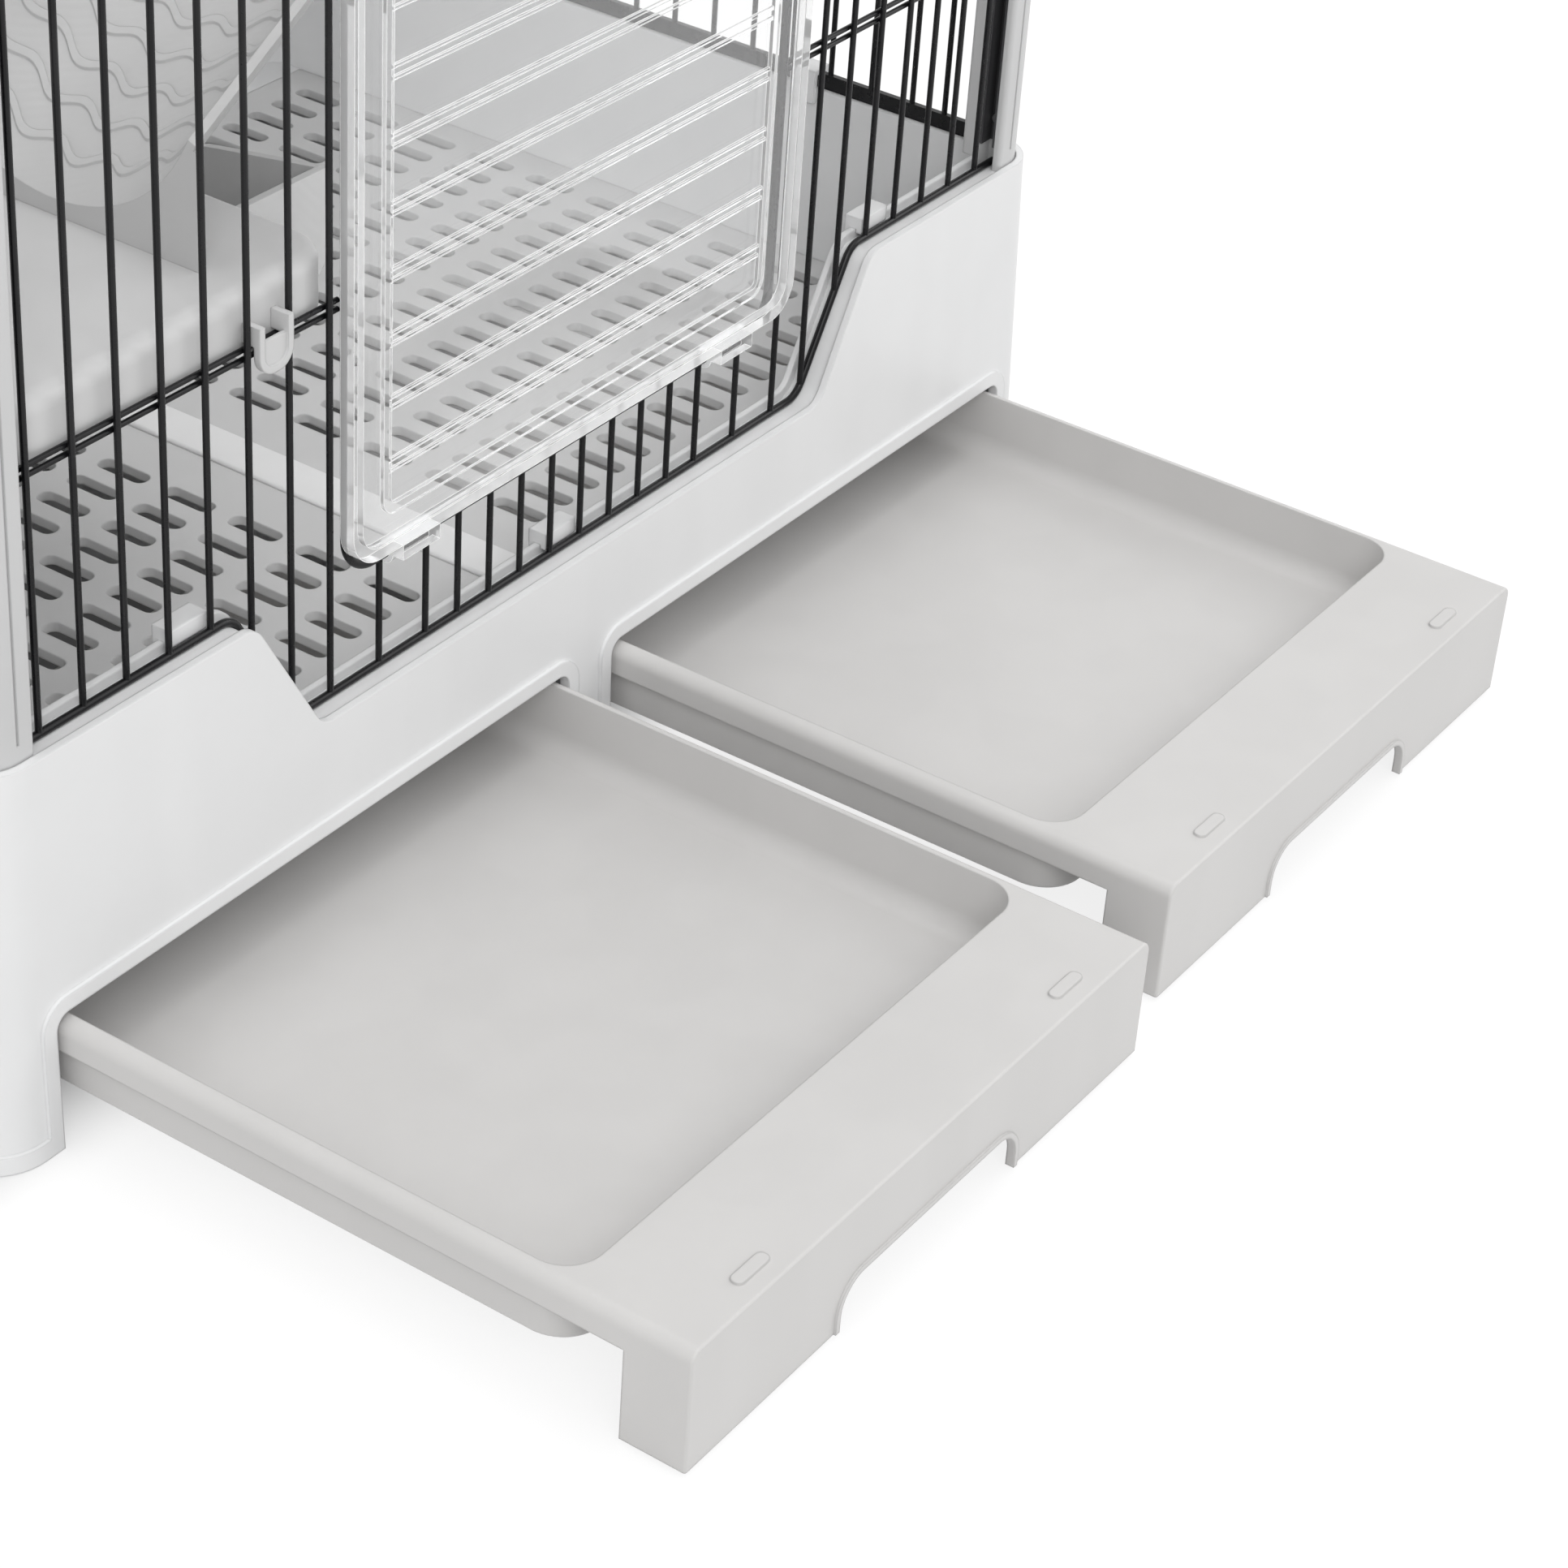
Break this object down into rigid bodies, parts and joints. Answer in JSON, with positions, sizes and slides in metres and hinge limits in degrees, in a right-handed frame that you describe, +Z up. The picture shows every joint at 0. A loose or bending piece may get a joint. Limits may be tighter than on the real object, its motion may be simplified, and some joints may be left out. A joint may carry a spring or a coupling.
{
  "type": "small pet cage",
  "caption": "Wire pet cage on a flared plastic base with pull-out drawers, a clear drop-down front door, a slotted floor, platforms and ramps.",
  "frame": {"origin": "middle of the base on the floor that the cage stands on, under the centre divider", "axes": "+X to the right seen from the front, -Y towards the front (door and drawers), +Z up"},
  "size_m": [0.6322, 0.6829, 0.69],
  "materials": {
    "white_plastic": "satin moulded plastic",
    "pale_grey_plastic": "satin moulded plastic",
    "warm_grey_plastic": "satin moulded plastic",
    "floor_plastic": "matt moulded plastic",
    "beam_plastic": "matt moulded plastic",
    "inside_plastic": "satin moulded plastic",
    "dark_plastic": "matt extruded plastic",
    "black_wire": "semi-gloss black coating on wire",
    "clear_plastic": "clear glossy moulded plastic",
    "screw_steel": "plated"
  },
  "bodies": {
    "cage": {"base_skirt": "white_plastic", "base_inner_wall": "white_plastic", "centre_divider": "white_plastic", "drawer_rail_left": "white_plastic", "drawer_rail_right": "white_plastic", "floor_beam": "beam_plastic", "floor_panel_left": "floor_plastic", "floor_panel_right": "floor_plastic", "post_front_left": "pale_grey_plastic", "post_front_right": "pale_grey_plastic", "post_back_left": "pale_grey_plastic", "post_back_right": "pale_grey_plastic", "channel_strips": "dark_plastic", "post_screws": "screw_steel", "front_grille_left": "black_wire", "front_grille_right": "black_wire", "front_grille_lower": "black_wire", "front_grille_upper": "black_wire", "door_loop": "black_wire", "side_grille_left": "black_wire", "side_grille_right": "black_wire", "back_grille": "black_wire", "top_frame": "pale_grey_plastic", "roof_grille": "black_wire", "wire_clips": "white_plastic", "platform_lower": "inside_plastic", "platform_upper": "inside_plastic", "platform_lower_hooks": "inside_plastic", "platform_upper_hooks": "inside_plastic", "ramp_upper": "inside_plastic", "ramp_lower": "inside_plastic"},
    "door": {"door_panel": "clear_plastic", "door_hinge_clips": "clear_plastic", "door_catch": "pale_grey_plastic"},
    "left_drawer": {"drawer_left": "warm_grey_plastic"},
    "right_drawer": {"drawer_right": "warm_grey_plastic"}
  },
  "joints": [
    {"name": "door_hinge", "type": "hinge", "parent": "cage", "child": "door", "pos_m": [0, -0.2, 0.14], "axis": [1, 0, 0], "range_deg": [0, 100]},
    {"name": "left_drawer_slide", "type": "slide", "parent": "cage", "child": "left_drawer", "axis": [0, -1, 0], "range_m": [-0.253, 0.04]},
    {"name": "right_drawer_slide", "type": "slide", "parent": "cage", "child": "right_drawer", "axis": [0, -1, 0], "range_m": [-0.2435, 0.05]}
  ]
}
